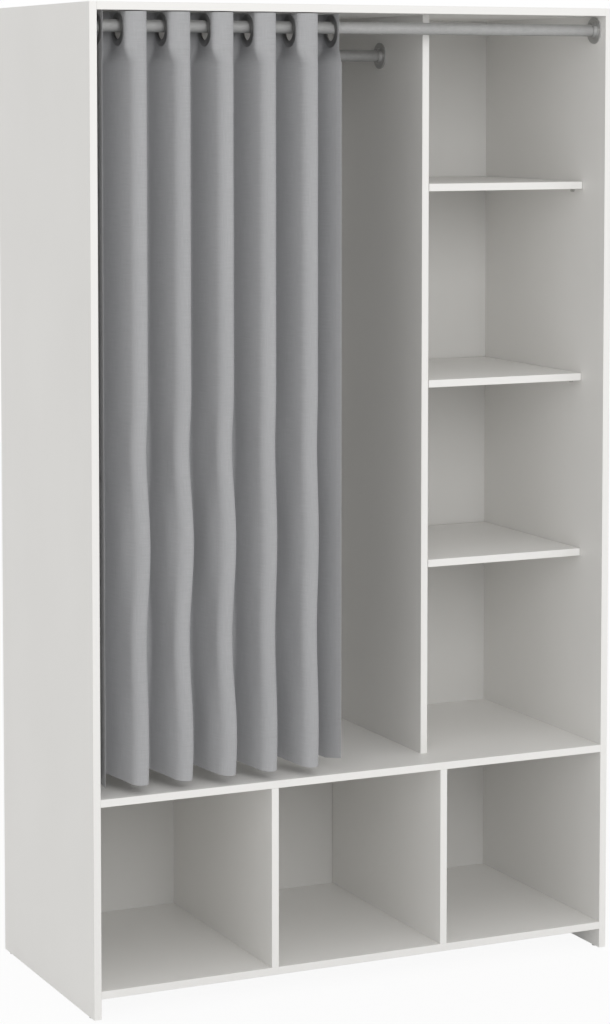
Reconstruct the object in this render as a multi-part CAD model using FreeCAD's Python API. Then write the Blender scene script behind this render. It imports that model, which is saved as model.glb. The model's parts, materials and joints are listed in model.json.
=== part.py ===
import FreeCAD, Part
import math
import os

# Open wardrobe of white faced board with a curtain in front of its hanging space.
# Millimetres. X to the right, front towards -Y, Z up, origin on the floor under the middle.

# Carcase
WIDTH = 1188.0
DEPTH = 540.0
HEIGHT = 2036.0
BOARD = 16.0
EDGE_ROUND = 0.8
FLOOR_GAP = 44.0
CUBE_HEIGHT = 374.0
COLUMN_SETBACK = 92.0
COLUMNS = 3

# Column shelves, from one top face to the next
LOWER_PITCH = 416.0
MIDDLE_PITCH = 384.0
UPPER_PITCH = 416.0
SHELF_SIDE_PLAY = 1.0
SHELF_REAR_PLAY = 2.0

# Back
BACK_THICKNESS = 3.0
BACK_INSET = 10.0
GROOVE_DEPTH = 7.0
GROOVE_PLAY = 0.2
BACK_BITE = 6.0
STRIP_WEB = 1.2
STRIP_FLANGE = 1.0
STRIP_WIDTH = 14.0
STRIP_PLAY = 0.2
STRIP_END_PLAY = 0.5

# Back nails
NAIL_RADIUS = 0.8
NAIL_LENGTH = 20.0
NAIL_HEAD_RADIUS = 2.0
NAIL_HEAD = 0.8
NAIL_MARGIN = 40.0
NAIL_SPACING = 145.0

# Cam locks and their bolts
CAM_RADIUS = 7.5
CAM_HEIGHT = 12.5
CAM_REACH = 34.0
CAM_SLOT = 1.2
CAM_SLOT_LENGTH = 9.0
CAM_SLOT_DEPTH = 2.5
CAM_POCKET = 3.7
BOLT_THREAD_RADIUS = 2.5
BOLT_THREAD = 11.0
BOLT_COLLAR_RADIUS = 3.5
BOLT_COLLAR = 3.0
BOLT_NECK_RADIUS = 2.2
BOLT_HEAD_RADIUS = 3.4
BOLT_HEAD = 3.5
BOLT_CHANNEL = 4.0
FIT = 0.05
HOLE_SPARE = 0.5

# Wooden dowels
DOWEL_RADIUS = 4.0
DOWEL_IN_END = 20.0
DOWEL_IN_FACE = 10.0
DOWEL_STEP = 32.0

# Places of the cam locks, from a board's front and rear edges
CAM_EDGE = 50.0
UPPER_CAM_REAR = 100.0

# Shelf pins
PIN_RADIUS = 2.5
PIN_DEPTH = 8.0
PIN_HEAD_RADIUS = 3.5
PIN_HEAD = 7.0
PIN_EDGE = 37.0

# Floor glides
GLIDE_RADIUS = 7.0
GLIDE_HEIGHT = 3.0
GLIDE_NAIL_RADIUS = 1.0
GLIDE_NAIL = 12.0
GLIDE_EDGE = 30.0

# Curtain rod and clothes rail
ROD_RADIUS = 12.5
ROD_WALL = 1.0
ROD_DROP = 30.0
ROD_SETBACK = 46.0
RAIL_RADIUS = 12.5
RAIL_WALL = 1.5
RAIL_DROP = 83.0
RAIL_SETBACK = 290.0
SOCKET_FLANGE_RADIUS = 28.0
SOCKET_FLANGE = 3.0
SOCKET_COLLAR_WALL = 3.0
SOCKET_DEPTH = 10.0
SOCKET_PLAY = 0.1
ROD_END_PLAY = 0.5
SOCKET_SCREW_RADIUS = 21.5

# Socket screws
SCREW_RADIUS = 1.75
SCREW_LENGTH = 15.0
SCREW_HEAD_RADIUS = 3.5
SCREW_HEAD = 2.0
SCREW_SLOT = 1.0
SCREW_SLOT_DEPTH = 0.9

# Eyelets
EYELETS = 12
EYELET_HOLE = 20.0
EYELET_RADIUS = 33.0
EYELET_BARREL_WALL = 1.5
EYELET_CROWN = 2.2
EYELET_RIM = 0.8
EYELET_REST_GAP = 0.3
EYELET_PITCH = 46.8
FIRST_EYELET = 15.2

# Curtain
CLOTH = 1.0
CLOTH_GAP = 0.3
CLOTH_PER_FOLD = 123.5
HEADER_ABOVE_EYELET = 2.2
HEADER_EDGE = 38.5
HEADER_BAND = 74.0
HEM_GAP = 12.0
HEADER_CORNER = 7.0
HEADER_CROWN_DEG = 28.0
MIDDLE_PITCH_GAIN = 0.5
MIDDLE_CORNER = 16.0
MIDDLE_CROWN_DEG = 30.0
HEM_PITCH_GAIN = 0.2
HEM_CORNER = 17.0
HEM_CROWN_DEG = 30.0
middle_height_share = 0.5

# Overrun of every cut
OVER = 1.0

X = FreeCAD.Vector(1, 0, 0)
Y = FreeCAD.Vector(0, 1, 0)
Z = FreeCAD.Vector(0, 0, 1)

# Faces of the carcase
left_in = -WIDTH / 2 + BOARD
right_in = WIDTH / 2 - BOARD
column_width = (WIDTH - (COLUMNS + 1) * BOARD) / COLUMNS
divider_one = left_in + column_width
divider_two = divider_one + BOARD + column_width
front = -DEPTH / 2
rear = DEPTH / 2
column_front = front + COLUMN_SETBACK
back_rear = rear - BACK_INSET
back_front = back_rear - BACK_THICKNESS
strip_front = back_front - GROOVE_PLAY - STRIP_FLANGE
divider_rear = strip_front - STRIP_PLAY
bottom_top = FLOOR_GAP + BOARD
middle_under = bottom_top + CUBE_HEIGHT
middle_top = middle_under + BOARD
top_under = HEIGHT - BOARD
strip_middle = divider_two + BOARD / 2
shelf_tops = {
    "lower": middle_top + LOWER_PITCH,
    "middle": middle_top + LOWER_PITCH + MIDDLE_PITCH,
    "upper": middle_top + LOWER_PITCH + MIDDLE_PITCH + UPPER_PITCH,
}
shelf_rear = divider_rear - SHELF_REAR_PLAY

# Axes of the rods and of the eyelets that hang on the front one
rod_y = front + ROD_SETBACK
rod_z = top_under - ROD_DROP
rail_y = front + RAIL_SETBACK
rail_z = top_under - RAIL_DROP
eyelet_z = rod_z + ROD_RADIUS + EYELET_REST_GAP - EYELET_HOLE
eyelet_xs = [left_in + FIRST_EYELET + EYELET_PITCH * i for i in range(EYELETS)]
header_top = eyelet_z + EYELET_RADIUS + HEADER_ABOVE_EYELET
hem_bottom = middle_top + HEM_GAP

nodes = {}
cuts = {}
cam_locks = []
cam_bolts = []
dowels = []


def block(x0, x1, y0, y1, z0, z1):
    return Part.makeBox(x1 - x0, y1 - y0, z1 - z0, FreeCAD.Vector(x0, y0, z0))


def rod(point, direction, radius, length):
    return Part.makeCylinder(radius, length, point, direction)


def board(name, x0, x1, y0, y1, z0, z1, run):
    """A board whose two front edges that follow run are rounded like edge banding."""
    solid = block(x0, x1, y0, y1, z0, z1)
    edges = []
    for edge in solid.Edges:
        a = edge.Vertexes[0].Point
        b = edge.Vertexes[1].Point
        at_front = max(a.y, b.y) < y0 + EDGE_ROUND
        if at_front and abs((b - a).normalize().dot(run)) > math.cos(math.pi / 4):
            edges.append(edge)
    nodes[name] = solid.makeFillet(EDGE_ROUND, edges)
    cuts[name] = []


def finish_boards():
    for name, tools in cuts.items():
        if tools:
            nodes[name] = nodes[name].cut(tools)


def cam_joint(shelf, panel, point, along, face):
    """A cam lock in the shelf's face that draws a bolt screwed into the panel.

    point is where the bolt crosses the joint, along points into the shelf and face out of
    the face that the cam opens to."""
    centre = point + along * CAM_REACH
    floor = centre + face * (BOARD / 2 - CAM_HEIGHT)
    cam = rod(floor, face, CAM_RADIUS, CAM_HEIGHT)
    pocket_start = centre - along * (CAM_RADIUS + OVER)
    pocket = rod(pocket_start, along, CAM_POCKET, CAM_RADIUS + BOLT_HEAD + OVER)
    across = along.cross(face)
    top = centre + face * (BOARD / 2 - CAM_SLOT_DEPTH)
    slots = []
    for u, v in ((along, across), (across, along)):
        corner = top - u * (CAM_SLOT_LENGTH / 2) - v * (CAM_SLOT / 2)
        outline = [corner, corner + u * CAM_SLOT_LENGTH, corner + u * CAM_SLOT_LENGTH + v * CAM_SLOT]
        outline += [corner + v * CAM_SLOT, corner]
        slots.append(Part.Face(Part.makePolygon(outline)).extrude(face * (CAM_SLOT_DEPTH + OVER)))
    cam_locks.append(cam.cut([pocket] + slots))

    neck_end = CAM_REACH - BOLT_HEAD / 2
    thread = rod(point - along * BOLT_THREAD, along, BOLT_THREAD_RADIUS, BOLT_THREAD)
    collar = rod(point, along, BOLT_COLLAR_RADIUS, BOLT_COLLAR)
    neck = rod(point, along, BOLT_NECK_RADIUS, neck_end)
    head = rod(point + along * neck_end, along, BOLT_HEAD_RADIUS, BOLT_HEAD)
    cam_bolts.append(thread.fuse([collar, neck, head]).removeSplitter())

    cam_hole = rod(
        floor - face * HOLE_SPARE, face, CAM_RADIUS + FIT, CAM_HEIGHT + HOLE_SPARE + OVER
    )
    channel = rod(point - along * OVER, along, BOLT_CHANNEL, CAM_REACH + OVER)
    cuts[shelf] += [cam_hole, channel]
    cuts[panel].append(
        rod(point - along * (BOLT_THREAD + HOLE_SPARE), along, BOLT_THREAD_RADIUS + FIT,
            BOLT_THREAD + HOLE_SPARE + OVER)
    )


def dowel_joint(shelf, panel, point, along):
    start = point - along * DOWEL_IN_FACE
    length = DOWEL_IN_FACE + DOWEL_IN_END
    dowels.append(rod(start, along, DOWEL_RADIUS, length))
    hole = rod(start - along * HOLE_SPARE, along, DOWEL_RADIUS + FIT, length + 2 * HOLE_SPARE)
    cuts[shelf].append(hole)
    cuts[panel].append(hole)


def joint_row(shelf, panel, point, along, face, cam_ys):
    """Two cam locks with a dowel inside each."""
    for y, step in zip(cam_ys, (DOWEL_STEP, -DOWEL_STEP)):
        cam_joint(shelf, panel, FreeCAD.Vector(point.x, y, point.z), along, face)
        dowel_joint(shelf, panel, FreeCAD.Vector(point.x, y + step, point.z), along)


def carcase_boards():
    sides = (("left_side_panel", -WIDTH / 2), ("right_side_panel", right_in))
    for name, x in sides:
        board(name, x, x + BOARD, front, rear, GLIDE_HEIGHT, HEIGHT, Z)
    board("top_panel", left_in, right_in, front, rear, top_under, HEIGHT, X)
    board("middle_shelf", left_in, right_in, front, back_front, middle_under, middle_top, X)
    board("bottom_shelf", left_in, right_in, front, rear, FLOOR_GAP, bottom_top, X)
    dividers = (
        ("lower_divider_left", divider_one, front, back_front, bottom_top, middle_under),
        ("lower_divider_right", divider_two, front, divider_rear, bottom_top, middle_under),
        ("upper_divider", divider_two, column_front, divider_rear, middle_top, top_under),
    )
    for name, x, start, end, low, high in dividers:
        board(name, x, x + BOARD, start, end, low, high, Z)
    shelf_left = divider_two + BOARD + SHELF_SIDE_PLAY
    shelf_right = right_in - SHELF_SIDE_PLAY
    for name, top in shelf_tops.items():
        board(
            "column_shelf_" + name, shelf_left, shelf_right,
            column_front, shelf_rear, top - BOARD, top, X,
        )


def carcase_joints():
    shelf_cams = (front + CAM_EDGE, back_front - CAM_EDGE)
    for name, z, face in (
        ("top_panel", top_under + BOARD / 2, Z),
        ("middle_shelf", middle_under + BOARD / 2, -Z),
        ("bottom_shelf", FLOOR_GAP + BOARD / 2, -Z),
    ):
        joint_row(name, "left_side_panel", FreeCAD.Vector(left_in, 0, z), X, face, shelf_cams)
        joint_row(name, "right_side_panel", FreeCAD.Vector(right_in, 0, z), -X, face, shelf_cams)
    for name, x in (("lower_divider_left", divider_one), ("lower_divider_right", divider_two)):
        middle = x + BOARD / 2
        joint_row(name, "bottom_shelf", FreeCAD.Vector(middle, 0, bottom_top), Z, X, shelf_cams)
        joint_row(name, "middle_shelf", FreeCAD.Vector(middle, 0, middle_under), -Z, X, shelf_cams)
    upper_cams = (column_front + CAM_EDGE, back_front - UPPER_CAM_REAR)
    middle = divider_two + BOARD / 2
    joint_row("upper_divider", "middle_shelf", FreeCAD.Vector(middle, 0, middle_top), Z, X, upper_cams)
    joint_row("upper_divider", "top_panel", FreeCAD.Vector(middle, 0, top_under), -Z, X, upper_cams)


def back_sheets():
    """Two tall sheets in grooves round the carcase, joined behind the dividers."""
    y0 = back_front
    y1 = back_rear
    z0 = bottom_top - BACK_BITE
    z1 = top_under + BACK_BITE
    half_web = STRIP_WEB / 2 + STRIP_PLAY
    nodes["back_sheet_left"] = block(left_in - BACK_BITE, strip_middle - half_web, y0, y1, z0, z1)
    nodes["back_sheet_right"] = block(strip_middle + half_web, right_in + BACK_BITE, y0, y1, z0, z1)
    groove = (y0 - GROOVE_PLAY, y1 + GROOVE_PLAY)
    cuts["left_side_panel"].append(
        block(left_in - GROOVE_DEPTH, left_in + OVER, *groove, 0, HEIGHT + OVER)
    )
    cuts["right_side_panel"].append(
        block(right_in - OVER, right_in + GROOVE_DEPTH, *groove, 0, HEIGHT + OVER)
    )
    cuts["top_panel"].append(
        block(left_in - OVER, right_in + OVER, *groove, top_under - OVER, top_under + GROOVE_DEPTH)
    )
    cuts["bottom_shelf"].append(
        block(left_in - OVER, right_in + OVER, *groove, bottom_top - GROOVE_DEPTH, bottom_top + OVER)
    )


def back_strip(z0, z1):
    """A length of H section that holds the two sheets' edges."""
    x0 = strip_middle - STRIP_WIDTH / 2
    x1 = strip_middle + STRIP_WIDTH / 2
    inner_front = back_front - GROOVE_PLAY
    inner_rear = back_rear + GROOVE_PLAY
    web_left = strip_middle - STRIP_WEB / 2
    web_right = strip_middle + STRIP_WEB / 2
    web = block(web_left, web_right, inner_front, inner_rear, z0, z1)
    flanges = [
        block(x0, x1, inner_front - STRIP_FLANGE, inner_front, z0, z1),
        block(x0, x1, inner_rear, inner_rear + STRIP_FLANGE, z0, z1),
    ]
    return web.fuse(flanges).removeSplitter()


def nail_row(start, end):
    """Even places between two ends, about one nail spacing apart and a margin inside them."""
    first = start + NAIL_MARGIN
    last = end - NAIL_MARGIN
    steps = max(round((last - first) / NAIL_SPACING), 1)
    return [first + (last - first) * i / steps for i in range(steps + 1)]


def back_nails():
    """Nails through the sheets into the rear edges that they lie against."""
    places = []
    height = middle_under + BOARD / 2
    for x in nail_row(left_in, strip_middle):
        places.append((x, height, "back_sheet_left", "middle_shelf"))
    for x in nail_row(strip_middle, right_in):
        places.append((x, height, "back_sheet_right", "middle_shelf"))
    for z in nail_row(bottom_top, middle_under):
        places.append((divider_one + BOARD / 2, z, "back_sheet_left", "lower_divider_left"))
    nails = []
    for x, z, sheet, carrier in places:
        point = FreeCAD.Vector(x, back_rear, z)
        shank = rod(point, -Y, NAIL_RADIUS, NAIL_LENGTH)
        head = rod(point, Y, NAIL_HEAD_RADIUS, NAIL_HEAD)
        nails.append(head.fuse(shank).removeSplitter())
        cuts[carrier].append(shank)
        nodes[sheet] = nodes[sheet].cut(shank)
    nodes["back_nails"] = Part.makeCompound(nails)


def shelf_pins():
    """Four pins under each adjustable shelf."""
    pins = []
    ys = (column_front + PIN_EDGE, shelf_rear - PIN_EDGE)
    sides = (("upper_divider", divider_two + BOARD, X), ("right_side_panel", right_in, -X))
    hole_depth = PIN_DEPTH + HOLE_SPARE
    for top in shelf_tops.values():
        z = top - BOARD - PIN_HEAD_RADIUS
        for panel, x, out in sides:
            for y in ys:
                point = FreeCAD.Vector(x, y, z)
                shank = rod(point - out * PIN_DEPTH, out, PIN_RADIUS, PIN_DEPTH)
                head = rod(point, out, PIN_HEAD_RADIUS, PIN_HEAD)
                pins.append(head.fuse(shank).removeSplitter())
                hole = rod(point - out * hole_depth, out, PIN_RADIUS + FIT, hole_depth + OVER)
                cuts[panel].append(hole)
    nodes["shelf_pins"] = Part.makeCompound(pins)


def floor_glides():
    glides = []
    for panel, x in (("left_side_panel", -WIDTH / 2), ("right_side_panel", right_in)):
        for y in (front + GLIDE_EDGE, rear - GLIDE_EDGE):
            point = FreeCAD.Vector(x + BOARD / 2, y, 0)
            foot = rod(point, Z, GLIDE_RADIUS, GLIDE_HEIGHT)
            nail = rod(point, Z, GLIDE_NAIL_RADIUS, GLIDE_HEIGHT + GLIDE_NAIL)
            glides.append(foot.fuse(nail).removeSplitter())
            cuts[panel].append(nail)
    nodes["floor_glides"] = Part.makeCompound(glides)


def screw(point, out):
    """A countersunk screw whose head face is at point and whose head faces out."""
    head = Part.makeCone(SCREW_HEAD_RADIUS, SCREW_RADIUS, SCREW_HEAD, point, -out)
    shank = rod(point, -out, SCREW_RADIUS, SCREW_LENGTH)
    reach = SCREW_HEAD_RADIUS + OVER
    slot = block(-SCREW_SLOT_DEPTH, OVER, -SCREW_SLOT / 2, SCREW_SLOT / 2, -reach, reach)
    if out.x < 0:
        slot.rotate(FreeCAD.Vector(0, 0, 0), Z, math.degrees(math.pi))
    slot.translate(point)
    body = head.fuse(shank).removeSplitter()
    return body.cut(slot), body


def bar_between(name, radius, wall, y, z, x0, x1, carriers):
    """A tube between two walls, its end sockets and their screws."""
    gap = SOCKET_FLANGE + ROD_END_PLAY
    start = FreeCAD.Vector(x0 + gap, y, z)
    length = x1 - x0 - 2 * gap
    outer = rod(start, X, radius, length)
    nodes[name] = outer.cut(rod(start - X * OVER, X, radius - wall, length + 2 * OVER))
    screws = []
    for side, x, out, carrier in (("left", x0, X, carriers[0]), ("right", x1, -X, carriers[1])):
        point = FreeCAD.Vector(x, y, z)
        flange = rod(point, out, SOCKET_FLANGE_RADIUS, SOCKET_FLANGE)
        collar = rod(point, out, radius + SOCKET_PLAY + SOCKET_COLLAR_WALL, SOCKET_DEPTH)
        bore = rod(point + out * SOCKET_FLANGE, out, radius + SOCKET_PLAY, SOCKET_DEPTH)
        socket = flange.fuse(collar).removeSplitter().cut(bore)
        for turn in (-1, 1):
            place = point + out * SOCKET_FLANGE + Y * (turn * SOCKET_SCREW_RADIUS)
            slotted, body = screw(place, out)
            screws.append(slotted)
            socket = socket.cut(body)
            cuts[carrier].append(body)
        nodes[name + "_socket_" + side] = socket
    return screws


def eyelet(x):
    """Two crowned flanges on a barrel, with the cloth between them."""
    half = CLOTH / 2 + CLOTH_GAP
    inner = EYELET_HOLE
    outer = EYELET_RADIUS
    middle = (inner + outer) / 2

    def at(along, radius):
        return FreeCAD.Vector(x + along, rod_y, eyelet_z + radius)

    barrel = inner + EYELET_BARREL_WALL
    rim = half + EYELET_RIM
    crown = half + EYELET_CROWN
    edges = [
        Part.makeLine(at(half, barrel), at(half, outer)),
        Part.makeLine(at(half, outer), at(rim, outer)),
        Part.Arc(at(rim, outer), at(crown, middle), at(rim, inner)).toShape(),
        Part.makeLine(at(rim, inner), at(-rim, inner)),
        Part.Arc(at(-rim, inner), at(-crown, middle), at(-rim, outer)).toShape(),
        Part.makeLine(at(-rim, outer), at(-half, outer)),
        Part.makeLine(at(-half, outer), at(-half, barrel)),
        Part.makeLine(at(-half, barrel), at(half, barrel)),
    ]
    profile = Part.Face(Part.Wire(edges))
    return profile.revolve(at(0, 0), X, math.degrees(2 * math.pi))


def fold_path(pitch, corner, crown_deg):
    """The curtain's middle line in plan, as lines and arcs from the first edge to the last.

    Each item is (start, middle or None, end) with the heading at its start and end. The cloth
    crosses the rod straight from front to rear at each eyelet, and turns round a corner, a
    flatter crown and a corner between two eyelets. The length of cloth per fold is kept."""
    crown_half = math.radians(crown_deg)
    crown = corner + (pitch / 2 - corner) / math.sin(crown_half)
    bend = 2 * corner * (math.pi / 2 - crown_half) + 2 * crown * crown_half
    flat_half = (CLOTH_PER_FOLD - bend) / 2
    place = FreeCAD.Vector(eyelet_xs[0], rod_y - HEADER_EDGE, 0)
    heading = math.pi / 2
    items = []

    def straight(length):
        nonlocal place
        end = place + FreeCAD.Vector(math.cos(heading), math.sin(heading), 0) * length
        items.append((place, None, end, heading, heading))
        place = end

    def arc(radius, turn):
        nonlocal place, heading
        side = math.copysign(1, turn)
        centre = place + FreeCAD.Vector(-math.sin(heading), math.cos(heading), 0) * (side * radius)

        def on_arc(angle):
            return centre + FreeCAD.Vector(math.sin(angle), -math.cos(angle), 0) * (side * radius)

        end = on_arc(heading + turn)
        items.append((place, on_arc(heading + turn / 2), end, heading, heading + turn))
        place = end
        heading += turn

    straight(HEADER_EDGE + flat_half)
    for number in range(1, EYELETS):
        way = -1 if number % 2 else 1
        arc(corner, way * (math.pi / 2 - crown_half))
        arc(crown, way * 2 * crown_half)
        arc(corner, way * (math.pi / 2 - crown_half))
        straight(flat_half + (flat_half if number < EYELETS - 1 else HEADER_EDGE))
    return items


def fold_wire(z, pitch, corner, crown_deg):
    """The outline of the cloth's thickness at one height."""
    items = fold_path(pitch, corner, crown_deg)
    lift = Z * z

    def beside(point, heading, side):
        return point + FreeCAD.Vector(-math.sin(heading), math.cos(heading), 0) * (side * CLOTH / 2) + lift

    def edge(a, middle, b, heading_a, heading_b, side):
        start = beside(a, heading_a, side)
        end = beside(b, heading_b, side)
        if middle is None:
            return Part.makeLine(start, end)
        return Part.Arc(start, beside(middle, (heading_a + heading_b) / 2, side), end).toShape()

    edges = [edge(*item, 1) for item in items]
    last = items[-1]
    edges.append(Part.makeLine(beside(last[2], last[4], 1), beside(last[2], last[4], -1)))
    edges += [edge(*item, -1) for item in reversed(items)]
    first = items[0]
    edges.append(Part.makeLine(beside(first[0], first[3], -1), beside(first[0], first[3], 1)))
    return Part.Wire(Part.__sortEdges__(edges))


def curtain():
    """The gathered cloth: upright through the header band, a little fuller below it."""
    band_bottom = header_top - HEADER_BAND
    middle = hem_bottom + (band_bottom - hem_bottom) * middle_height_share
    middle_pitch = EYELET_PITCH + MIDDLE_PITCH_GAIN
    hem_pitch = EYELET_PITCH + HEM_PITCH_GAIN
    wires = [
        fold_wire(header_top, EYELET_PITCH, HEADER_CORNER, HEADER_CROWN_DEG),
        fold_wire(band_bottom, EYELET_PITCH, HEADER_CORNER, HEADER_CROWN_DEG),
        fold_wire(middle, middle_pitch, MIDDLE_CORNER, MIDDLE_CROWN_DEG),
        fold_wire(hem_bottom, hem_pitch, HEM_CORNER, HEM_CROWN_DEG),
    ]
    cloth = Part.makeLoft(wires, True, True)
    barrel = EYELET_HOLE + EYELET_BARREL_WALL + CLOTH_GAP
    through = CLOTH / 2 + OVER
    holes = [
        rod(FreeCAD.Vector(x - through, rod_y, eyelet_z), X, barrel, 2 * through)
        for x in eyelet_xs
    ]
    return cloth.cut(holes)


carcase_boards()
carcase_joints()
back_sheets()
for strip, low, high in (("lower", bottom_top, middle_under), ("upper", middle_top, top_under)):
    nodes["back_joint_strip_" + strip] = back_strip(low + STRIP_END_PLAY, high - STRIP_END_PLAY)
back_nails()
shelf_pins()
floor_glides()
socket_screws = bar_between(
    "curtain_rod", ROD_RADIUS, ROD_WALL, rod_y, rod_z, left_in, right_in,
    ("left_side_panel", "right_side_panel"),
)
socket_screws += bar_between(
    "clothes_rail", RAIL_RADIUS, RAIL_WALL, rail_y, rail_z, left_in, divider_two,
    ("left_side_panel", "upper_divider"),
)
nodes["socket_screws"] = Part.makeCompound(socket_screws)
nodes["cam_locks"] = Part.makeCompound(cam_locks)
nodes["cam_bolts"] = Part.makeCompound(cam_bolts)
nodes["wooden_dowels"] = Part.makeCompound(dowels)
finish_boards()
nodes["curtain"] = curtain()
for number, place_x in enumerate(eyelet_xs, 1):
    nodes["eyelet_%02d" % number] = eyelet(place_x)

os.makedirs("parts", exist_ok=True)
for name, shape in nodes.items():
    shape.exportStep("parts/" + name + ".step")
    print(name, len(shape.Solids), "solids, valid", shape.isValid(), "volume", round(shape.Volume))
flat_width = (EYELETS - 1) * CLOTH_PER_FOLD + 2 * HEADER_EDGE
print("curtain's flat width", flat_width, "height", header_top - hem_bottom)
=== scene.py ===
import json
import math

import bpy
import numpy as np
from mathutils import Matrix, Vector


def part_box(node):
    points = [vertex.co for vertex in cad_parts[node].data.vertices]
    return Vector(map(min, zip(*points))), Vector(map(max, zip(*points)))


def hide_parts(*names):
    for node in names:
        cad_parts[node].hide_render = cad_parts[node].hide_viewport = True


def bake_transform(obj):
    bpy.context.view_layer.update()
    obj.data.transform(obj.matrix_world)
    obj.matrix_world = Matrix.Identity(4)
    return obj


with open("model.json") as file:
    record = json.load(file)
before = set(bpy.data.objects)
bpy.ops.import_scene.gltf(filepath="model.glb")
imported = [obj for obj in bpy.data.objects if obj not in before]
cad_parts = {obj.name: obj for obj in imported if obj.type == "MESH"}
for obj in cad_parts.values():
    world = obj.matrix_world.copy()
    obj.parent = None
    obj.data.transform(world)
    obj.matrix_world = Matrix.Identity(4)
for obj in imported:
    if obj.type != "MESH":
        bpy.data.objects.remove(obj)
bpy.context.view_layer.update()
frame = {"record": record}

# The camera that fits the photograph's edges, in pixels, metres and degrees
PICTURE_HEIGHT_PX = 1024
FOCAL_PX = 2881.7
AXIS_ROW_PX = 300.0
CAMERA_PLACE = (-2.6118, -5.5695, 1.8549)
CAMERA_YAW = 25.11
CAMERA_TILT = 4.09
CAMERA_REACH = 100.0
SENSOR_MM = 36.0

# The studio: a soft light in front and above, an even world and a floor that the camera sees as white
WORLD_LIGHT = 0.76
WORLD_COLOUR = (1.0, 0.995, 0.985, 1.0)
SOFTBOX_PLACE = (-0.5, -5.6, 3.2)
SOFTBOX_AIM = (0.0, 0.0, 1.0)
SOFTBOX_SIZE = (3.0, 2.4)
SOFTBOX_WATTS = 72.0
FLOOR_REACH = 9.0
FLOOR_COLOURS = ((0.86, 0.86, 0.86), (0.84, 0.84, 0.84))
FLOOR_WHITE_SHARE = 0.93
WHITE = (1.0, 1.0, 1.0, 1.0)

# The curtain's cloth as it was cut and sewn, in metres, its side edges counted from the last eyelets
EYELETS = 12
FOLDS = EYELETS - 1
CLOTH_PER_FOLD = 0.1235
SIDE_EDGE = 0.0385
CLOTH_THICKNESS = 0.0005
SIDE_EDGE_THICKNESS = 0.0003
HEM_LAYER = 0.0003
HEADER_HEM = 0.078
BOTTOM_HEM = 0.080
SIDE_HEM = 0.018
RIM_ANGLE_DEG = 60.0

# Over what width the extra layer of each hem runs out
HEADER_HEM_STEP = 0.003
BOTTOM_HEM_STEP = 0.010
SIDE_HEM_STEP = 0.005

# The hole in the cloth round each eyelet, from which share of its radius points move out to its
# circle, and how far round the eyelet presses the hem's layers flat
EYELET_GRIP_RADIUS = 0.0222
EYELET_RIM_FROM = 0.6
EYELET_PRESS_RADIUS = 0.0390

# The folds of the stiff header: a round corner each side of a flatter crown
HEADER_CORNER = 0.007
HEADER_CROWN_DEG = 28.0

# How far below the header's top the cloth begins to fall freely, and where it is free
FREE_FALL_START = 0.0685
FREE_FALL_FULL = 0.108

# The free folds: from each fold's first eyelet the places of its two corners, and their radii
FOLD_DEPTH = 0.0436
FRONT_CORNERS = (0.0190, 0.0490)
FRONT_RADII = (0.0240, 0.012)
REAR_CORNERS = (-0.0080, 0.0328)
REAR_RADII = (0.012, 0.006)
FIRST_CORNERS = (-0.0060, 0.0270)
LAST_CORNERS = (-0.0040, 0.0150)

# How far the free side edges lean: the first to the side panel, the last the way the curtain is drawn
FIRST_LEAN = 0.0020
LAST_LEAN = 0.0060

# How far each free fold sways to the right, from which height over the hem, and where it does so most
SWAY = (0.001, 0.0045, -0.002, 0.0050, 0.002, 0.0048, -0.002, 0.0024, 0.002, 0.0022, 0.001)
SWAY_FROM = 0.84
SWAY_FULL = 0.66
SWAY_RIGHT_AT = 0.486
SWAY_LENGTH = 0.405

# The folds whose sway near the hem is weaker or stronger, as a share
LOW_SWAY = {1: 0.45, 3: 0.8, 5: 1.1}

# Small ripples in the free folds
RIPPLE = 0.0005
RIPPLE_PER_METRE = 23.0
RIPPLE_PER_FOLD = 2.3
RIPPLE_PER_STEP = 0.3

# How far the hem hangs above the cut length: at the front folds, more at the rear and at the last
# edge, growing with a power of the distance below the header's top
HEM_LIFT = 0.0065
HEM_LIFT_REAR = 0.012
HEM_LIFT_LAST = 0.010
HEM_LIFT_POWER = 3
HEM_WAVE = 0.0012
HEM_WAVE_PER_METRE = 9.0
HEM_WAVE_SHIFT = 0.8

# Grid of the cloth
STEPS_PER_FOLD = 26
ARC_STEPS = 12
EDGE_STEPS = 8
ROW = 0.012
HEADER_ROW = 0.003
HEADER_ROWS_TO = 0.140

# Stitches: spindles of thread, set in from the hems' inner edges
STITCH_STEP = 0.0046
STITCH_LENGTH = 0.0033
STITCH_RADIUS = 0.0003
STITCH_SHOULDER = 0.28
STITCH_SIDES = 5
STITCH_INSET = 0.004
SIDE_STITCH_INSET = 0.003

# Colours and roughness of the finishes
BOARD_WHITE = (0.86, 0.851, 0.830)
BOARD_ROUGHNESS = 0.42
EDGE_WHITE = (0.90, 0.893, 0.875)
GLUE_LINE = (0.55, 0.54, 0.51)
CHIP_COLOURS = ((0.27, 0.17, 0.09), (0.62, 0.47, 0.30))
BACK_WHITE = (0.745, 0.738, 0.72)
FIBRE_COLOURS = ((0.20, 0.115, 0.06), (0.40, 0.26, 0.15))
BEECH_COLOURS = ((0.62, 0.42, 0.24), (0.44, 0.27, 0.14))
CLOTH_LIGHT = (0.485, 0.488, 0.499)
CLOTH_DARK = (0.36, 0.363, 0.374)
CLOTH_SHEEN = 0.12
SEWING_THREAD = (0.40, 0.405, 0.415)
PLASTICS = {
    "strip_plastic": ((0.78, 0.775, 0.76), 0.45),
    "glide_plastic": ((0.60, 0.60, 0.59), 0.55),
}

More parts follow.
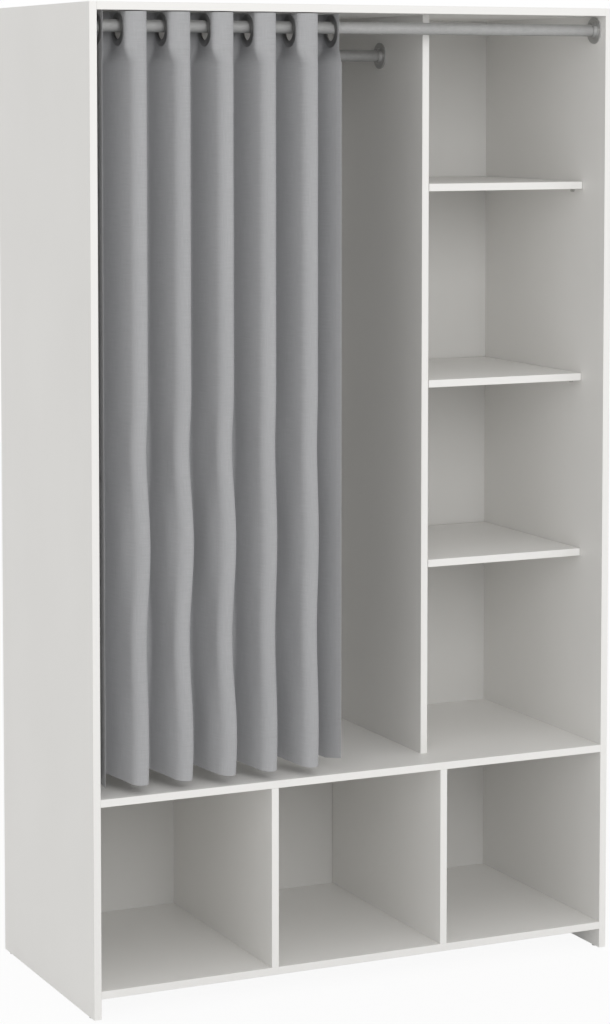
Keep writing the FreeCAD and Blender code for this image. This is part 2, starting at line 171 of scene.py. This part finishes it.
# Metals: colour, roughness, how the drawn lines are stretched along x, y and z, and lines per metre
EVEN = (1.0, 1.0, 1.0)
METALS = {
    "satin_tube": ((0.54, 0.54, 0.535), 0.78, (0.15, 1.0, 1.0), 700.0),
    "socket_metal": ((0.60, 0.60, 0.595), 0.55, EVEN, 500.0),
    "screw_steel": ((0.66, 0.66, 0.64), 0.28, EVEN, 900.0),
    "cam_zinc": ((0.45, 0.45, 0.45), 0.45, EVEN, 600.0),
    "eyelet_metal": ((0.32, 0.32, 0.32), 0.48, EVEN, 800.0),
}

# Sizes of the textures, in cells per metre
BOARD_CLOUDS = 2.3
BOARD_SMEARS = 9.0
BOARD_PEARL = 1100.0
BOARD_SAG = 11.0
CHIPS = 420.0
CHIP_GRAIN = 900.0
BACK_CLOUDS = 3.1
BACK_FIBRES = 190.0
BACK_PEEL = 480.0
BACK_SCREEN = 210.0
METAL_MOTTLE = 60.0
PLASTIC_TONE = 25.0
PLASTIC_SKIN = 1600.0
BEECH_GRAIN = 160.0
FLOOR_GRAIN = 40.0
THREAD_PLY = 900.0
SLUB_ACROSS = 900.0
SLUB_ALONG = 24.0
CLOTH_SHADE = (5.0, 2.0, 1.0)

# Width of one thread in the weave, in metres
CLOTH_THREAD = 0.0006

# The surface's direction along y at which each of these begins, and at which it is full
FRONT_FACE = (-0.90, -0.985)
REAR_FACE = (0.90, 0.985)
BACK_SIDE = (0.2, 0.6)
GLUE_FROM_FACE = (-0.03, -0.25)
GLUE_FROM_EDGE = (-0.75, -0.35)


def eyelet_centres():
    centres = []
    for number in range(1, EYELETS + 1):
        low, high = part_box("eyelet_%02d" % number)
        centres.append((Vector(low) + Vector(high)) / 2)
    return centres


centres = eyelet_centres()
pitch = centres[1].x - centres[0].x
curtain_low, curtain_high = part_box("curtain")
header_top = curtain_high[2]
drop = curtain_high[2] - curtain_low[2]


# Node trees

def new_material(name):
    material = bpy.data.materials.new(name)
    material.use_nodes = True
    tree = material.node_tree
    return material, tree, tree.nodes["Principled BSDF"]


def fill(tree, node, values):
    """Links a node's inputs to sockets, and sets those that get a plain value."""
    for key, value in values.items():
        if isinstance(value, bpy.types.NodeSocket):
            tree.links.new(value, node.inputs[key])
        else:
            node.inputs[key].default_value = value


def add(tree, kind, values=None, **settings):
    """Adds a node with its settings and inputs."""
    node = tree.nodes.new(kind)
    for key, value in settings.items():
        setattr(node, key, value)
    fill(tree, node, values or {})
    return node


def math_node(tree, operation, a, b=0.0, clamp=False):
    return add(tree, "ShaderNodeMath", {0: a, 1: b}, operation=operation, use_clamp=clamp).outputs[0]


def times(tree, a, b):
    return math_node(tree, "MULTIPLY", a, b)


def plus(tree, a, b, clamp=False):
    return math_node(tree, "ADD", a, b, clamp)


def ramp(tree, factor, low, high, out_low=0.0, out_high=1.0):
    node = add(
        tree, "ShaderNodeMapRange",
        {"Value": factor, "From Min": low, "From Max": high, "To Min": out_low, "To Max": out_high},
    )
    return node.outputs["Result"]


def blend_colour(tree, factor, a, b):
    node = add(tree, "ShaderNodeMix", {"Factor": factor}, data_type="RGBA")
    for key, value in ((6, a), (7, b)):
        if not isinstance(value, bpy.types.NodeSocket):
            value = (*value, 1.0)
        fill(tree, node, {key: value})
    return node.outputs[2]


def mottled(tree, factor, colour, share):
    """A colour that falls to a share of itself in patches."""
    darker = tuple(part * share for part in colour)
    return blend_colour(tree, ramp(tree, factor, 0.3, 0.7), colour, darker)


def scaled(tree, vector, scale):
    return add(tree, "ShaderNodeMapping", {"Vector": vector, "Scale": scale}).outputs[0]


def place(tree, scale=EVEN):
    """The point in the object's frame, in metres times scale."""
    coordinate = add(tree, "ShaderNodeTexCoord")
    return scaled(tree, coordinate.outputs["Object"], scale)


def noise(tree, vector, scale, detail=3.0, roughness=0.5):
    node = add(
        tree, "ShaderNodeTexNoise",
        {"Vector": vector, "Scale": scale, "Detail": detail, "Roughness": roughness},
    )
    return node.outputs["Fac"]


def bands(tree, vector, scale, direction, distortion, detail=2.0):
    node = add(
        tree, "ShaderNodeTexWave",
        {"Vector": vector, "Scale": scale, "Distortion": distortion, "Detail": detail},
        wave_type="BANDS", bands_direction=direction,
    )
    return node.outputs["Fac"]


def bump(tree, bsdf, height, strength, distance):
    node = add(tree, "ShaderNodeBump", {"Height": height, "Strength": strength, "Distance": distance})
    fill(tree, bsdf, {"Normal": node.outputs[0]})


def toward_rear(tree):
    """The surface's direction along y, from -1 at the front to 1 at the rear."""
    geometry = add(tree, "ShaderNodeNewGeometry")
    return add(tree, "ShaderNodeSeparateXYZ", {0: geometry.outputs["Normal"]}).outputs[1]


# Materials

def chipboard_core(tree, point):
    """Pressed chips, seen where an edge has no band."""
    chips = add(tree, "ShaderNodeTexVoronoi", {"Vector": point, "Scale": CHIPS, "Randomness": 1.0})
    tone = times(tree, chips.outputs["Distance"], noise(tree, point, CHIP_GRAIN, detail=4.0, roughness=0.7))
    return blend_colour(tree, ramp(tree, tone, 0.05, 0.5), *CHIP_COLOURS)


def faced_board(name, base, edge, roughness):
    """White melamine with a fine pearl texture, a brighter front edge band and raw rear edges."""
    material, tree, bsdf = new_material(name)
    point = place(tree)
    direction = toward_rear(tree)
    colour = mottled(tree, noise(tree, point, BOARD_CLOUDS, roughness=0.55), base, 0.972)
    colour = blend_colour(tree, ramp(tree, direction, *FRONT_FACE), colour, edge)
    glue = times(tree, ramp(tree, direction, *GLUE_FROM_FACE), ramp(tree, direction, *GLUE_FROM_EDGE))
    colour = blend_colour(tree, times(tree, glue, 0.5), colour, GLUE_LINE)
    raw = ramp(tree, direction, *REAR_FACE)
    colour = blend_colour(tree, raw, colour, chipboard_core(tree, point))
    smear = noise(tree, place(tree, (1.0, 1.0, 0.35)), BOARD_SMEARS, detail=4.0, roughness=0.6)
    rough = ramp(tree, smear, 0.25, 0.75, roughness - 0.05, roughness + 0.07)
    rough = plus(tree, rough, times(tree, raw, 0.4), True)
    fill(tree, bsdf, {"Base Color": colour, "Roughness": rough, "Specular IOR Level": 0.42})
    pearl = times(tree, noise(tree, point, BOARD_PEARL, detail=2.0, roughness=0.6), 0.35)
    sag = times(tree, noise(tree, point, BOARD_SAG, detail=1.0, roughness=0.4), 1.4)
    bump(tree, bsdf, plus(tree, pearl, sag), strength=0.16, distance=0.0006)
    return material


def hardboard(name, base):
    """Lacquered white inside, brown pressed fibre with a screen pattern behind."""
    material, tree, bsdf = new_material(name)
    point = place(tree)
    behind = ramp(tree, toward_rear(tree), *BACK_SIDE)
    face = mottled(tree, noise(tree, point, BACK_CLOUDS), base, 0.965)
    fibre = noise(tree, place(tree, (1.0, 1.0, 1.7)), BACK_FIBRES, detail=6.0, roughness=0.75)
    brown = blend_colour(tree, ramp(tree, fibre, 0.32, 0.68), *FIBRE_COLOURS)
    peel = noise(tree, point, BACK_PEEL, detail=2.0)
    rough = ramp(tree, peel, 0.2, 0.8, 0.42, 0.56)
    fill(tree, bsdf, {"Base Color": blend_colour(tree, behind, face, brown), "Roughness": rough})
    columns = bands(tree, point, BACK_SCREEN, "X", distortion=0.4, detail=1.0)
    rows = bands(tree, point, BACK_SCREEN, "Z", distortion=0.4, detail=1.0)
    screen = times(tree, times(tree, columns, rows), behind)
    bump(tree, bsdf, plus(tree, times(tree, peel, 0.25), screen), strength=0.3, distance=0.0005)
    return material


def drawn_metal(name, base, roughness, stretch, lines):
    """Plated or drawn metal with fine lines and a soft mottle."""
    material, tree, bsdf = new_material(name)
    streak = noise(tree, place(tree, stretch), lines, detail=5.0, roughness=0.65)
    colour = mottled(tree, noise(tree, place(tree), METAL_MOTTLE), base, 0.95)
    rough = ramp(tree, streak, 0.25, 0.75, roughness - 0.07, roughness + 0.09)
    fill(tree, bsdf, {"Base Color": colour, "Metallic": 1.0, "Roughness": rough})
    bump(tree, bsdf, streak, strength=0.12, distance=0.0002)
    return material


def moulded(name, base, roughness):
    """Moulded plastic with a fine spark-eroded skin."""
    material, tree, bsdf = new_material(name)
    point = place(tree)
    colour = mottled(tree, noise(tree, point, PLASTIC_TONE, detail=2.0), base, 0.94)
    skin = noise(tree, point, PLASTIC_SKIN, detail=2.0, roughness=0.6)
    rough = ramp(tree, skin, 0.2, 0.8, roughness - 0.05, roughness + 0.05)
    fill(tree, bsdf, {"Base Color": colour, "Roughness": rough})
    bump(tree, bsdf, skin, strength=0.2, distance=0.0002)
    return material


def beech(name):
    """Dowel wood: pale, with short darker flecks and pressed flutes."""
    material, tree, bsdf = new_material(name)
    grain = noise(tree, place(tree, (1.0, 3.0, 3.0)), BEECH_GRAIN, detail=5.0, roughness=0.7)
    colour = blend_colour(tree, ramp(tree, grain, 0.35, 0.65), *BEECH_COLOURS)
    fill(tree, bsdf, {"Base Color": colour, "Roughness": ramp(tree, grain, 0.2, 0.8, 0.55, 0.7)})
    bump(tree, bsdf, grain, strength=0.3, distance=0.0003)
    return material


def woven(name, light, dark, thread_width, sheen):
    """Plain weave along the cloth's own directions, with slubs and a soft nap."""
    material, tree, bsdf = new_material(name)
    uv = add(tree, "ShaderNodeUVMap", uv_map="cloth").outputs["UV"]
    split = add(tree, "ShaderNodeSeparateXYZ", {0: uv})
    warp, weft = (
        math_node(tree, "SINE", times(tree, split.outputs[axis], math.pi / thread_width)) for axis in (0, 1)
    )
    over = times(tree, warp, weft)
    warp_slub = noise(tree, scaled(tree, uv, (SLUB_ACROSS, SLUB_ALONG, 1.0)), 1.0)
    weft_slub = noise(tree, scaled(tree, uv, (SLUB_ALONG, SLUB_ACROSS, 1.0)), 1.0)
    slub = plus(tree, warp_slub, weft_slub)
    shade = noise(tree, scaled(tree, uv, CLOTH_SHADE), 1.0, detail=4.0)
    tone = plus(tree, ramp(tree, slub, 0.7, 1.3, -0.25, 0.25), ramp(tree, over, -1.0, 1.0, 0.2, 0.7))
    tone = plus(tree, tone, ramp(tree, shade, 0.3, 0.7, -0.08, 0.08), True)
    fill(tree, bsdf, {
        "Base Color": blend_colour(tree, tone, dark, light),
        "Roughness": ramp(tree, slub, 0.7, 1.3, 0.78, 0.92),
        "Specular IOR Level": 0.25,
        "Sheen Weight": sheen,
        "Sheen Roughness": 0.5,
    })
    height = plus(tree, times(tree, over, 0.5), times(tree, slub, 0.6))
    bump(tree, bsdf, height, strength=0.35, distance=0.0003)
    return material


def sewing_thread(name, base):
    """Twisted sewing thread."""
    material, tree, bsdf = new_material(name)
    ply = bands(tree, place(tree), THREAD_PLY, "DIAGONAL", distortion=1.0)
    colour = blend_colour(tree, ply, base, tuple(part * 0.75 for part in base))
    fill(tree, bsdf, {"Base Color": colour, "Roughness": 0.7})
    bump(tree, bsdf, ply, strength=0.4, distance=0.0002)
    return material


def make_finishes():
    """A material for each material slot of the solids that stay."""
    finishes = {
        "white_board": faced_board("white_board", BOARD_WHITE, EDGE_WHITE, BOARD_ROUGHNESS),
        "back_board": hardboard("back_board", BACK_WHITE),
        "dowel_wood": beech("dowel_wood"),
    }
    for slot, values in PLASTICS.items():
        finishes[slot] = moulded(slot, *values)
    for slot, values in METALS.items():
        finishes[slot] = drawn_metal(slot, *values)
    return finishes


def dress_solids(finishes):
    for part in frame["record"]["subparts"]:
        solid = bpy.data.objects.get(part["node"])
        finish = finishes.get(part["material_slot"])
        if solid is not None and finish is not None:
            for material_slot in solid.material_slots:
                material_slot.material = finish


# The folds in plan

def smooth(value):
    value = min(1.0, max(0.0, value))
    return value * value * (3 - 2 * value)


def evenly(path, count):
    """count + 1 points at even steps along a path in plan."""
    path = np.array(path)
    run = np.concatenate([[0.0], np.cumsum(np.linalg.norm(np.diff(path, axis=0), axis=1))])
    wanted = np.linspace(0.0, run[-1], count + 1)
    return np.stack([np.interp(wanted, run, path[:, axis]) for axis in (0, 1)], axis=1)


def header_heading(share):
    """Direction of the cloth in plan at a share of one header fold, square to the rod at both ends."""
    crown_half = math.radians(HEADER_CROWN_DEG)
    crown_radius = HEADER_CORNER + (pitch / 2 - HEADER_CORNER) / math.sin(crown_half)
    corner_run = HEADER_CORNER * (math.pi / 2 - crown_half)
    crown_run = 2 * crown_radius * crown_half
    flat = (CLOTH_PER_FOLD - 2 * corner_run - crown_run) / 2
    run = min(share, 1 - share) * CLOTH_PER_FOLD
    if run <= flat:
        angle = math.pi / 2
    elif run <= flat + corner_run:
        angle = math.pi / 2 - (run - flat) / HEADER_CORNER
    else:
        angle = crown_half - (run - flat - corner_run) / crown_radius
    return angle if share <= 0.5 else -angle


def header_fold():
    """One fold in the header, from one eyelet to the next, away from the rod's line."""
    count = STEPS_PER_FOLD * ARC_STEPS
    step = CLOTH_PER_FOLD / count
    path = [(0.0, 0.0)]
    for i in range(count):
        angle = header_heading((i + 0.5) / count)
        x, y = path[-1]
        path.append((x + math.cos(angle) * step, y + math.sin(angle) * step))
    return evenly(path, STEPS_PER_FOLD)


def is_front(fold):
    return fold % 2 == 1


def fold_corners(fold):
    """Where a free fold's two corners are, from its first eyelet."""
    if is_front(fold):
        return FRONT_CORNERS
    return {0: FIRST_CORNERS, FOLDS - 1: LAST_CORNERS}.get(fold, REAR_CORNERS)


def crossing(fold):
    """Where the cloth crosses the rod's line before a free fold, from the fold's first eyelet."""
    if fold == 0:
        return 0.0
    before = fold_corners(fold - 1)[1] - pitch
    if fold == FOLDS:
        after, reach = LAST_LEAN, SIDE_EDGE
    else:
        after, reach = fold_corners(fold)[0], FOLD_DEPTH
    return before + (after - before) * FOLD_DEPTH / (FOLD_DEPTH + reach)


def rounded_fold(corners, radii):
    """One free fold from its corners, each turned with its own radius."""
    path = [corners[0]]
    for before, corner, after, radius in zip(corners, corners[1:], corners[2:], radii):
        corner = Vector(corner)
        into = (Vector(before) - corner).normalized()
        onward = (Vector(after) - corner).normalized()
        half = into.angle(onward) / 2
        centre = corner + (into + onward).normalized() * (radius / math.sin(half))
        first = corner + into * (radius / math.tan(half)) - centre
        last = corner + onward * (radius / math.tan(half)) - centre
        for k in range(ARC_STEPS + 1):
            share = k / ARC_STEPS
            spoke = (first * (1 - share) + last * share).normalized() * radius
            path.append(tuple(centre + spoke))
    path.append(corners[-1])
    return evenly(path, STEPS_PER_FOLD)


def free_fold(fold):
    left, right = fold_corners(fold)
    start = (crossing(fold), 0.0)
    end = (pitch + crossing(fold + 1), 0.0)
    corners = (start, (left, FOLD_DEPTH), (right, FOLD_DEPTH), end)
    return rounded_fold(corners, FRONT_RADII if is_front(fold) else REAR_RADII)


def sway(fold, height):
    """How far a free fold swings aside at a height over the hem, with its own strength near the hem."""
    swing = smooth((SWAY_FROM - height) / (SWAY_FROM - SWAY_FULL))
    swing *= math.cos(2 * math.pi * (height - SWAY_RIGHT_AT) / SWAY_LENGTH)
    if height < SWAY_RIGHT_AT - SWAY_LENGTH / 2:
        swing = LOW_SWAY.get(fold, 1.0) * (swing + 1) - 1
    return SWAY[fold] * swing


# The hung cloth

def cloth_rows():
    """Distances below the header's top edge, closer together in the header."""
    down = [0.0]
    while down[-1] < HEADER_ROWS_TO:
        down.append(down[-1] + HEADER_ROW)
    rest = drop - down[-1]
    rows = math.ceil(rest / ROW)
    return down + [down[-1] + rest * (i + 1) / rows for i in range(rows)]


def cloth_columns():
    """Distances along the cloth from its first side edge."""
    first = [SIDE_EDGE * i / EDGE_STEPS for i in range(EDGE_STEPS)]
    middle = [SIDE_EDGE + CLOTH_PER_FOLD * i / STEPS_PER_FOLD for i in range(FOLDS * STEPS_PER_FOLD + 1)]
    last = [middle[-1] + SIDE_EDGE * (i + 1) / EDGE_STEPS for i in range(EDGE_STEPS)]
    return first + middle + last


def row_points(down, header, free):
    """One level row of the cloth in plan, as (x, y) at each column."""
    relax = smooth((down - FREE_FALL_START) / (FREE_FALL_FULL - FREE_FALL_START))
    height = drop - down
    start, end = centres[0], centres[-1]
    points = []
    for i in range(EDGE_STEPS):
        share = 1 - i / EDGE_STEPS
        points.append((start.x - FIRST_LEAN * relax * share, start.y - SIDE_EDGE * share))
    for fold in range(FOLDS):
        way = -1 if is_front(fold) else 1
        swing = sway(fold, height)
        steps = STEPS_PER_FOLD + (1 if fold == FOLDS - 1 else 0)
        for i in range(steps):
            x, y = header[i] * (1 - relax) + free[fold][i] * relax
            out = smooth(y / FOLD_DEPTH)
            x += swing * out
            phase = RIPPLE_PER_METRE * height + RIPPLE_PER_FOLD * fold + RIPPLE_PER_STEP * i
            ripple = RIPPLE * relax * out * (1 + math.sin(phase)) / 2
            points.append((centres[fold].x + x, start.y + way * (y - ripple)))
    crossed = crossing(FOLDS)
    for i in range(EDGE_STEPS):
        share = (i + 1) / EDGE_STEPS
        lean = (crossed * (1 - share) + LAST_LEAN * share) * relax
        points.append((end.x + lean, end.y - SIDE_EDGE * share))
    return points


def hem_lift(along, y, width):
    """How far the hem hangs above the cut length at one column."""
    rear_share = min(1.0, max(0.0, 0.5 + (y - centres[0].y) / (2 * FOLD_DEPTH)))
    last_share = max(0.0, along - width + SIDE_EDGE) / SIDE_EDGE
    wave = HEM_WAVE * (1 + math.sin(HEM_WAVE_PER_METRE * along + HEM_WAVE_SHIFT)) / 2
    return wave + HEM_LIFT + HEM_LIFT_REAR * rear_share + HEM_LIFT_LAST * last_share


def cloth_grid():
    """The cloth's middle surface, one point for each row and column."""
    columns = cloth_columns()
    rows = cloth_rows()
    header = header_fold()
    free = [free_fold(fold) for fold in range(FOLDS)]
    grid = np.zeros((len(rows), len(columns), 3))
    for r, down in enumerate(rows):
        for c, (x, y) in enumerate(row_points(down, header, free)):
            lift = hem_lift(columns[c], y, columns[-1]) * (down / drop) ** HEM_LIFT_POWER
            grid[r, c] = (x, y, header_top - down + lift)
    return rows, columns, grid


def surface_normals(grid):
    across = np.gradient(grid, axis=1)
    down = np.gradient(grid, axis=0)
    normal = np.cross(across, down)
    length = np.linalg.norm(normal, axis=2)
    length[length == 0] = 1.0
    return normal / length[:, :, None]


def from_eyelet(number, down, along):
    """How far a point of the flat cloth is from an eyelet's centre."""
    return math.hypot(along - SIDE_EDGE - CLOTH_PER_FOLD * number, header_top - down - centres[number].z)


def hem_layers(rows, columns):
    """How many hem layers each point has, none where an eyelet presses the cloth."""
    width = columns[-1]
    extra = np.zeros((len(rows), len(columns)))
    for r, down in enumerate(rows):
        for c, along in enumerate(columns):
            number = min(FOLDS, max(0, round((along - SIDE_EDGE) / CLOTH_PER_FOLD)))
            if from_eyelet(number, down, along) < EYELET_PRESS_RADIUS:
                continue
            in_header = smooth((HEADER_HEM - down) / HEADER_HEM_STEP + 0.5)
            in_bottom = smooth((BOTTOM_HEM - (drop - down)) / BOTTOM_HEM_STEP + 0.5)
            in_side = smooth((SIDE_HEM - min(along, width - along)) / SIDE_HEM_STEP + 0.5)
            extra[r, c] = max(in_header, in_bottom, in_side)
    return extra


def cut_eyelet_hole(number, kept, grid, rows, columns):
    """Leaves out the quads inside an eyelet and puts the rim's points on its circle."""
    centre = centres[number]
    inside = {
        (r, c)
        for r, down in enumerate(rows)
        for c, along in enumerate(columns)
        if from_eyelet(number, down, along) < EYELET_GRIP_RADIUS
    }
    for r, c in list(kept):
        if inside.issuperset(((r, c), (r + 1, c), (r, c + 1), (r + 1, c + 1))):
            kept.discard((r, c))
    for r, c in inside:
        offset = Vector(grid[r, c]) - centre
        spoke = Vector((0.0, offset.y, offset.z))
        if spoke.length > EYELET_GRIP_RADIUS * EYELET_RIM_FROM:
            grid[r, c] = centre + spoke.normalized() * EYELET_GRIP_RADIUS


def mesh_object(name, vertices, faces, material, shade_smooth=True):
    mesh = bpy.data.meshes.new(name)
    mesh.from_pydata([tuple(vertex) for vertex in vertices], [], faces)
    mesh.validate()
    mesh.update()
    mesh.materials.append(material)
    mesh.polygons.foreach_set("use_smooth", [shade_smooth] * len(mesh.polygons))
    obj = bpy.data.objects.new(name, mesh)
    bpy.context.scene.collection.objects.link(obj)
    return obj


def sheet_faces(kept, index):
    """Both faces of the kept quads, and the rim round them."""
    faces = []
    for r, c in sorted(kept):
        corners = [(r, c), (r, c + 1), (r + 1, c + 1), (r + 1, c)]
        neighbours = [(r - 1, c), (r, c + 1), (r + 1, c), (r, c - 1)]
        faces.append([index[(1, *corner)] for corner in reversed(corners)])
        faces.append([index[(-1, *corner)] for corner in corners])
        for a, b, neighbour in zip(corners, corners[1:] + corners[:1], neighbours):
            if neighbour not in kept:
                faces.append([index[(1, *a)], index[(1, *b)], index[(-1, *b)], index[(-1, *a)]])
    return faces


def make_curtain(material):
    """The cloth as a closed thin sheet, thicker where its edges are turned over and sewn."""
    rows, columns, grid = cloth_grid()
    kept = {(r, c) for r in range(len(rows) - 1) for c in range(len(columns) - 1)}
    for number in range(EYELETS):
        cut_eyelet_hole(number, kept, grid, rows, columns)
    normals = surface_normals(grid)
    half = CLOTH_THICKNESS / 2 + HEM_LAYER * hem_layers(rows, columns) / 2
    half[:, (0, -1)] = SIDE_EDGE_THICKNESS / 2
    vertices, index, uvs = [], {}, []
    for side in (1, -1):
        for r, down in enumerate(rows):
            for c, along in enumerate(columns):
                index[side, r, c] = len(vertices)
                vertices.append(grid[r, c] + normals[r, c] * half[r, c] * side)
                uvs.append((along, header_top - down))
    faces = sheet_faces(kept, index)
    used = sorted({vertex for face in faces for vertex in face})
    renumber = {vertex: n for n, vertex in enumerate(used)}
    faces = [[renumber[vertex] for vertex in face] for face in faces]
    curtain = mesh_object("curtain_cloth", [vertices[vertex] for vertex in used], faces, material)
    layer = curtain.data.uv_layers.new(name="cloth")
    for loop in curtain.data.loops:
        layer.data[loop.index].uv = uvs[used[loop.vertex_index]]
    curtain.data.set_sharp_from_angle(angle=math.radians(RIM_ANGLE_DEG))
    return curtain, rows, columns, grid, normals


def add_stitch(centre, along, vertices, faces):
    """One small spindle of thread."""
    side = along.orthogonal().normalized()
    other = along.cross(side)
    base = len(vertices)
    vertices.append(centre - along * STITCH_LENGTH / 2)
    for shoulder in (-STITCH_SHOULDER, STITCH_SHOULDER):
        for k in range(STITCH_SIDES):
            angle = 2 * math.pi * k / STITCH_SIDES
            spoke = side * math.cos(angle) + other * math.sin(angle)
            vertices.append(centre + along * (STITCH_LENGTH * shoulder) + spoke * STITCH_RADIUS)
    vertices.append(centre + along * STITCH_LENGTH / 2)
    first = base + 1
    second = first + STITCH_SIDES
    tip = second + STITCH_SIDES
    for k in range(STITCH_SIDES):
        n = (k + 1) % STITCH_SIDES
        faces.append((base, first + n, first + k))
        faces.append((first + k, first + n, second + n, second + k))
        faces.append((second + k, second + n, tip))


def stitch_line(points, vertices, faces):
    """Stitches at even steps along a line on the cloth's face."""
    run = 0.0
    due = STITCH_STEP
    for a, b in zip(points, points[1:]):
        length = (b - a).length
        while run + length >= due and length > 0:
            add_stitch(a.lerp(b, (due - run) / length), (b - a).normalized(), vertices, faces)
            due += STITCH_STEP
        run += length


def nearest(values, wanted):
    return min(range(len(values)), key=lambda i: abs(values[i] - wanted))


def make_stitching(rows, columns, grid, normals, material):
    """Rows of stitches at the header's and the bottom hem's edge and up both side hems."""
    vertices, faces = [], []
    width = columns[-1]
    lift = (CLOTH_THICKNESS + HEM_LAYER) / 2
    for side in (1, -1):
        face = grid + normals * (lift * side)
        for down in (HEADER_HEM - STITCH_INSET, drop - BOTTOM_HEM + STITCH_INSET):
            line = face[nearest(rows, down)]
            stitch_line([Vector(point) for point in line], vertices, faces)
        for along in (SIDE_HEM - SIDE_STITCH_INSET, width - SIDE_HEM + SIDE_STITCH_INSET):
            line = face[:, nearest(columns, along)]
            stitch_line([Vector(point) for point in line], vertices, faces)
    return mesh_object("curtain_stitching", vertices, faces, material)


# Studio

def add_camera():
    yaw = math.radians(CAMERA_YAW)
    tilt = math.radians(CAMERA_TILT)
    ahead = Vector((math.sin(yaw) * math.cos(tilt), math.cos(yaw) * math.cos(tilt), -math.sin(tilt)))
    right = Vector((math.cos(yaw), -math.sin(yaw), 0.0))
    up = right.cross(ahead)
    data = bpy.data.cameras.new("camera")
    data.sensor_width = SENSOR_MM
    data.lens = FOCAL_PX * SENSOR_MM / PICTURE_HEIGHT_PX
    data.shift_y = -(PICTURE_HEIGHT_PX / 2 - AXIS_ROW_PX) / PICTURE_HEIGHT_PX
    data.clip_end = CAMERA_REACH
    camera = bpy.data.objects.new("camera", data)
    turn = Matrix((right, up, -ahead)).transposed().to_4x4()
    camera.matrix_world = Matrix.Translation(CAMERA_PLACE) @ turn
    bpy.context.scene.collection.objects.link(camera)
    bpy.context.scene.camera = camera


def seen_directly(tree):
    """One for rays that should see a white background, and zero for light."""
    path = add(tree, "ShaderNodeLightPath")
    seen = math_node(tree, "MAXIMUM", path.outputs["Is Camera Ray"], path.outputs["Is Glossy Ray"])
    return math_node(tree, "MAXIMUM", seen, path.outputs["Is Transmission Ray"])


def add_world():
    world = bpy.data.worlds.new("studio")
    world.use_nodes = True
    bpy.context.scene.world = world
    tree = world.node_tree
    tree.nodes.clear()
    light = add(tree, "ShaderNodeBackground", {"Color": WORLD_COLOUR, "Strength": WORLD_LIGHT})
    white = add(tree, "ShaderNodeBackground", {"Color": WHITE, "Strength": 1.0})
    mix = add(
        tree, "ShaderNodeMixShader",
        {0: seen_directly(tree), 1: light.outputs[0], 2: white.outputs[0]},
    )
    add(tree, "ShaderNodeOutputWorld", {0: mix.outputs[0]})


def add_floor():
    """A pale floor that looks white to the camera but keeps a faint shadow."""
    reach = FLOOR_REACH
    corners = [(-reach, -reach, 0), (reach, -reach, 0), (reach, reach, 0), (-reach, reach, 0)]
    material, tree, bsdf = new_material("studio_floor")
    fine = noise(tree, place(tree), FLOOR_GRAIN, detail=2.0)
    colour = blend_colour(tree, ramp(tree, fine, 0.3, 0.7), *FLOOR_COLOURS)
    fill(tree, bsdf, {"Base Color": colour, "Roughness": 0.9})
    glow = add(tree, "ShaderNodeEmission", {"Color": WHITE, "Strength": 1.0})
    share = times(tree, seen_directly(tree), FLOOR_WHITE_SHARE)
    mix = add(tree, "ShaderNodeMixShader", {0: share, 1: bsdf.outputs[0], 2: glow.outputs[0]})
    fill(tree, tree.nodes["Material Output"], {0: mix.outputs[0]})
    floor = mesh_object("studio_floor", corners, [(0, 1, 2, 3)], material, False)


def add_softbox():
    data = bpy.data.lights.new("softbox", "AREA")
    data.shape = "RECTANGLE"
    data.size, data.size_y = SOFTBOX_SIZE
    data.energy = SOFTBOX_WATTS
    lamp = bpy.data.objects.new("softbox", data)
    lamp.location = SOFTBOX_PLACE
    beam = Vector(SOFTBOX_AIM) - Vector(SOFTBOX_PLACE)
    lamp.rotation_euler = beam.to_track_quat("-Z", "Y").to_euler()
    bpy.context.scene.collection.objects.link(lamp)


# The dressed part

dress_solids(make_finishes())
cloth_finish = woven("grey_cloth", CLOTH_LIGHT, CLOTH_DARK, CLOTH_THREAD, CLOTH_SHEEN)
curtain, rows, columns, grid, normals = make_curtain(cloth_finish)
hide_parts("curtain")
stitching = make_stitching(rows, columns, grid, normals, sewing_thread("grey_thread", SEWING_THREAD))
for piece in (curtain, stitching):
    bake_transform(piece)

add_world()
add_floor()
add_softbox()
add_camera()
bpy.context.scene.view_settings.view_transform = "Standard"
